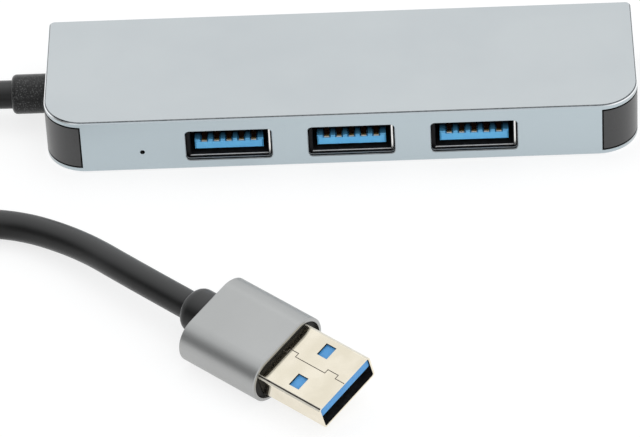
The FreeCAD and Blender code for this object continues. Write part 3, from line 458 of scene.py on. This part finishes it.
def make_floor():
    """A white sheet: most of what shows is its own white, and the rest keeps the shadow."""
    bpy.ops.mesh.primitive_plane_add(size=FLOOR_SIZE)
    floor = bpy.context.object
    floor.name = "floor"
    shader = Shader("floor")
    shader.set(Roughness=0.9, Specular_IOR_Level=0.0)
    sheet = shader.blend(shader.noise(3, detail=1), grey(0.800), grey(0.805))
    seen = seen_directly(shader.tree)
    shader.drive(Base_Color=shader.blend(seen, sheet, FLOOR_LIT_COLOUR, 0, 1),
                 Emission_Strength=maths(shader.tree, "MULTIPLY", seen, FLOOR_OWN_WHITE))
    shader.set(Emission_Color=(1, 1, 1, 1))
    floor.data.materials.append(shader.material)


def make_world():
    """An even white tent with one dark opening, low on the left."""
    world = bpy.data.worlds.new("studio")
    world.use_nodes = True
    bpy.context.scene.world = world
    tree = world.node_tree
    sky = tree.nodes["Background"]
    place = tree.nodes.new("ShaderNodeTexCoord").outputs["Generated"]
    opening = towards(tree, place, OPENING_DIRECTION, OPENING_INNER, OPENING_OUTER)
    shade = maths(tree, "MULTIPLY", opening, OPENING_DARKNESS)
    sky.inputs["Color"].default_value = (*SKY_COLOUR, 1)
    tree.links.new(maths(tree, "SUBTRACT", 1.0, shade), sky.inputs["Strength"])


def make_lamp():
    """One large soft lamp above the hub, a little behind it."""
    data = bpy.data.lights.new("overhead", "AREA")
    data.shape = "RECTANGLE"
    data.size = LAMP_WIDTH
    data.size_y = LAMP_DEPTH
    data.energy = LAMP_POWER
    lamp = bpy.data.objects.new("overhead", data)
    lamp.location = LAMP_PLACE
    lamp.rotation_euler = (LAMP_AIM - LAMP_PLACE).to_track_quat("-Z", "Y").to_euler()
    bpy.context.scene.collection.objects.link(lamp)


# ---------------------------------------------------------------- housing and caps
CAP_FACE = 6.0
WALL = 0.9
EDGE_BEVEL = 0.3
CUTOUT_BEVEL = 0.12
CUTOUT_FOOT = 2.0    # no cut-out's lower edge is higher
# the painted highlight line on a cut-out's floor
LINE_START, LINE_END = 0.43, 0.68    # the dim line on a cut-out's floor, behind the front face
OFF_FACE = 0.01    # just behind the front face
OFF_CAPS = 1.0    # well clear of the caps
NEAR = 0.05    # a margin round a place that a test looks at
SLANT_LEAST, SLANT_MOST = 0.6, 0.8    # the part along Z of a 45-degree face's normal
RUNS_ALONG = 0.1    # a face runs along an axis that has less of its normal than this
LOOKS_ALONG = 0.5    # and it looks along an axis that has more of it than this


def in_mm(corners):
    return [Vector(corner) / MM for corner in corners]


housing_low, housing_high = in_mm(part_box("housing_tube"))
front_y = housing_low.y
hub_top = housing_high.z
cap_inner = housing_high.x - CAP_FACE


def on_bevel(middle, normal):
    """The chamfers along the housing's upper and lower edges."""
    reach = EDGE_BEVEL + NEAR
    slanted = SLANT_LEAST < abs(normal.z) < SLANT_MOST
    return slanted and (middle.z > hub_top - reach or middle.z < reach)


def in_cutout(middle, normal):
    """The walls of the cut-outs and of the lamp's hole."""
    in_wall = front_y + OFF_FACE < middle.y < front_y + WALL and WALL < middle.z < hub_top - WALL
    return in_wall and abs(normal.y) < RUNS_ALONG and abs(middle.x) < cap_inner - OFF_CAPS


def on_cutout_floor(middle, normal):
    return in_cutout(middle, normal) and normal.z > LOOKS_ALONG


def under_port(middle, normal):
    """The small chamfer along the lower edge of the cut-outs."""
    in_front = middle.y < front_y + CUTOUT_BEVEL + NEAR and WALL < middle.z < CUTOUT_FOOT
    return in_front and normal.z > LOOKS_ALONG and normal.y < -LOOKS_ALONG


def dress_housing(painted_shade_metal):
    # the front and back faces get a darker, bluer colour as painted shade
    give(aluminium("anodised_aluminium", (0.550, 0.582, 0.598), (0.574, 0.606, 0.619), roughness=0.42,
                   upright=(0.506, 0.578, 0.614)), "housing_tube")
    paint("housing_tube", cut_edge(hub_top), on_bevel)
    paint("housing_tube", painted_shade_metal, in_cutout)
    paint("housing_tube", cutout_floor(front_y + LINE_START, front_y + LINE_END), on_cutout_floor)
    # the cut-outs' lower chamfer is painted a dim grey, a painted highlight line in place of its aluminium
    dim_line = plain("dim_line", (0.22, 0.24, 0.25), (0.30, 0.32, 0.33), roughness=0.5, specular=0.2)
    paint("housing_tube", dim_line, under_port)
    give(black_abs("black_abs", (0.004, 0.004, 0.005), (0.020, 0.020, 0.021), gloss=0.70,
                   joint=(cap_inner, WALL, hub_top - WALL)), "left_end_cap", "right_end_cap")


# ---------------------------------------------------------------- ports
LIP_SIDE = 0.6    # a lip's spread and its sheet
LIP_FACE = 0.16    # the depth of its front edge
# the bright streak on a shell's front edge is a painted highlight
STREAK_INNER, STREAK_OUTER = LIP_SIDE - 0.16, 0.14    # from the shell's right side
# where the ports' painted shade begins behind the tongue's tip, and the depth over which it becomes full
BLUE_START, BLUE_FADE = 0.25, 1.8    # behind the tongue's tip
GOLD_START, GOLD_FADE = 0.05, 0.5
CONTACT_NOSE = 0.1


def on_lower_lip(middle, normal):
    """The chamfer along the lower edge of a shell's mouth."""
    return normal.z > LOOKS_ALONG and normal.y < -LOOKS_ALONG


def dress_port(port, painted_shade_metal, light_line):
    shell_low, shell_high = in_mm(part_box(f"{port}_shell"))
    tongue_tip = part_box(f"{port}_insulator")[0][1] / MM
    shell = port_nickel(f"{port}_nickel", shell_high.x - STREAK_INNER, shell_high.x - STREAK_OUTER)
    # the ports' blue is painted brighter than the plug's own blue, to make up for the shade in the port; blue
    # and gold both take painted shade with depth
    blue = fading(f"{port}_blue", (0.138, 0.545, 0.985), (0.158, 0.590, 0.995), gone=(0.004, 0.016, 0.030),
                  roughness=0.34, metallic=0.0, front=tongue_tip + BLUE_START, fade=BLUE_FADE)
    gold = fading(f"{port}_gold", (0.80, 0.58, 0.24), (0.88, 0.66, 0.30), gone=(0.055, 0.024, 0.009),
                  roughness=0.28, metallic=0.4, front=tongue_tip + GOLD_START, fade=GOLD_FADE)
    give(shell, f"{port}_shell")
    # behind its front edge the shell takes painted shade, and its lower lip a painted highlight line
    paint(f"{port}_shell", painted_shade_metal, lambda middle, normal: middle.y > shell_low.y + LIP_FACE)
    paint(f"{port}_shell", light_line, on_lower_lip)
    give(blue, f"{port}_insulator")
    give(gold, f"{port}_superspeed_contacts", f"{port}_usb2_contacts")
    # the contacts' front ends take a painted highlight line
    paint(f"{port}_superspeed_contacts", light_line,
          lambda middle, normal: normal.y < -0.9 and middle.y < tongue_tip + CONTACT_NOSE)


# ---------------------------------------------------------------- plug and the lead's ends
PLUG_BANK = math.radians(15)
TIP_TOP, TIP_SIDE = 2.25, 6.0    # half of its thickness and width
TIP_CORNER = 0.6
TIP_END = TIP_LENGTH - NEAR
SEAM_DEPTH = 0.15
OFF_TOP = 0.04    # just under its upper face
OFF_SIDE = 1.0    # well clear of its sides, where the windows are
SEAM_SIDE = 0.9    # the dovetail seam stays nearer the middle than this
CORNER_NORMALS = 0.15, 0.97    # the parts along Y of the normals on a rounded edge
SHADED_NORMALS = -0.62, -0.30


def plug_frame():
    """The matrix into the plug's own frame: X along it from the tip's root, Z up through its seam."""
    mouth, outward = plug_mount()
    turn = Matrix.Rotation(math.atan2(outward.y, outward.x), 4, "Z") @ Matrix.Rotation(PLUG_BANK, 4, "X")
    return (Matrix.Translation(mouth - outward * TIP_LENGTH * MM) @ turn).inverted()


def at_corner(middle):
    return abs(middle.y) > TIP_SIDE - TIP_CORNER - 0.1


def on_corner(middle, normal):
    """The tip's rounded long edges."""
    least, most = CORNER_NORMALS
    return least < abs(normal.y) < most and at_corner(middle)


def on_shaded_corner(middle, normal):
    """A narrow strip of the upper edge on the near side."""
    least, most = SHADED_NORMALS
    return normal.z > 0 and least < normal.y < most and at_corner(middle)


def inside_tip(middle, normal):
    """Faces of the tip's shell that look into it, and the walls of its windows."""
    inward = normal.y * middle.y + normal.z * middle.z < -0.1
    in_sheet = abs(middle.z) < TIP_TOP - OFF_TOP and abs(middle.y) < TIP_SIDE - OFF_SIDE
    window = abs(normal.z) < RUNS_ALONG and in_sheet
    return (inward or window) and middle.x < TIP_END


def in_seam(middle, normal):
    """The groove of the dovetail seam."""
    below_top = TIP_TOP - SEAM_DEPTH - 0.01 < middle.z < TIP_TOP - 0.02
    return below_top and abs(middle.y) < SEAM_SIDE and middle.x < TIP_END


def dress_plug(painted_shade_metal):
    into = plug_frame()
    warm_edge = plain("warm_edge", (0.72, 0.68, 0.58), (0.78, 0.74, 0.64), roughness=0.4)
    dark_edge = plain("dark_edge", (0.045, 0.038, 0.032), (0.065, 0.056, 0.048), roughness=0.5, specular=0.2)
    groove = plain("groove", (0.24, 0.21, 0.18), (0.32, 0.28, 0.24), roughness=0.5)
    give(aluminium("grey_aluminium", (0.432, 0.436, 0.432), (0.456, 0.460, 0.456), roughness=0.40),
         "plug_sleeve")
    give(black_abs("core_black", grey(0.008), grey(0.030), gloss=0.15), "plug_core")
    give(plain("blue_insulator", (0.070, 0.330, 0.720), (0.095, 0.380, 0.780), roughness=0.36),
         "plug_insulator")
    give(plain("gold_plate", (0.80, 0.58, 0.24), (0.88, 0.66, 0.30), roughness=0.28, metallic=1.0),
         "plug_usb2_contacts", "plug_superspeed_contacts")
    give(nickel_plate(), "plug_tip_shell")
    # the tip's rounded edges take a warm light grey, a painted highlight in place of the plate's reflection
    paint("plug_tip_shell", warm_edge, on_corner, into)
    # a narrow strip of the near upper edge is painted dark: painted shade
    paint("plug_tip_shell", dark_edge, on_shaded_corner, into)
    # faces inside the tip and the windows' walls take painted shade
    paint("plug_tip_shell", painted_shade_metal, inside_tip, into)
    # the seam's groove is painted a darker grey: painted shade in the crease
    paint("plug_tip_shell", groove, in_seam, into)


def dress_lead_ends():
    give(black_pvc("black_pvc"), "plug_boot", "lead_jacket_end")
    # the hub's boot takes a fainter painted highlight on top
    give(black_pvc("speckled_pvc", painted_top_light=grey(0.018), specks=grey(0.085)), "lead_boot")
    give(plain("wire_green", (0.02, 0.20, 0.07), (0.04, 0.26, 0.10), roughness=0.4), "lead_data_wires")
    give(plain("wire_red", (0.35, 0.015, 0.012), (0.45, 0.02, 0.016), roughness=0.4), "lead_power_wires")


# ---------------------------------------------------------------- board
def dress_board():
    give(plain("board_laminate", (0.010, 0.075, 0.035), (0.016, 0.100, 0.050), roughness=0.4),
         "circuit_board")
    give(plain("amber_film", (0.42, 0.22, 0.03), (0.50, 0.28, 0.05), roughness=0.35), "insulating_film")
    give(plain("epoxy_black", (0.012, 0.012, 0.013), (0.020, 0.020, 0.022), roughness=0.5),
         "hub_controller", "voltage_regulator", "power_inductor", "chip_resistors")
    give(plain("crystal_can", (0.62, 0.62, 0.60), (0.70, 0.70, 0.68), roughness=0.3, metallic=1.0), "crystal")
    give(plain("ceramic_tan", (0.36, 0.22, 0.12), (0.44, 0.28, 0.16), roughness=0.5), "chip_capacitors")
    give(plain("tantalum_amber", (0.55, 0.30, 0.05), (0.62, 0.36, 0.08), roughness=0.45), "port_capacitors")
    give(plain("fuse_green", (0.05, 0.20, 0.08), (0.08, 0.26, 0.10), roughness=0.45), "port_fuses")
    give(plain("solder_tin", grey(0.55), grey(0.66), roughness=0.3, metallic=1.0), "solder_joints")
    give(plain("lamp_white", (0.80, 0.78, 0.70), (0.86, 0.84, 0.78), roughness=0.3), "status_led")
    # the light pipe is made near black, so that the pinhole shows dark
    give(plain("near_black_pipe", (0.004, 0.004, 0.005), (0.007, 0.007, 0.008), roughness=0.30, specular=0.15),
         "light_pipe")


# ---------------------------------------------------------------- making
bpy.context.scene.view_settings.view_transform = "Standard"
make_camera()
free_lead()
make_floor()
make_world()
make_lamp()

# near black painted shade for the walls inside the cut-outs, the shells behind their front edges and the
# faces inside the plug's tip
shaded_metal = plain("shaded_metal", (0.012, 0.012, 0.013), (0.020, 0.020, 0.021), roughness=0.45,
                     specular=0.12)
# pale grey painted highlight lines for the shells' lower lips and the contacts' front ends
lip_line = plain("light_line", grey(0.48), grey(0.58), roughness=0.5)
dress_housing(shaded_metal)
for number in (1, 2, 3):
    dress_port(f"port_{number}", shaded_metal, lip_line)
dress_plug(shaded_metal)
dress_lead_ends()
dress_board()
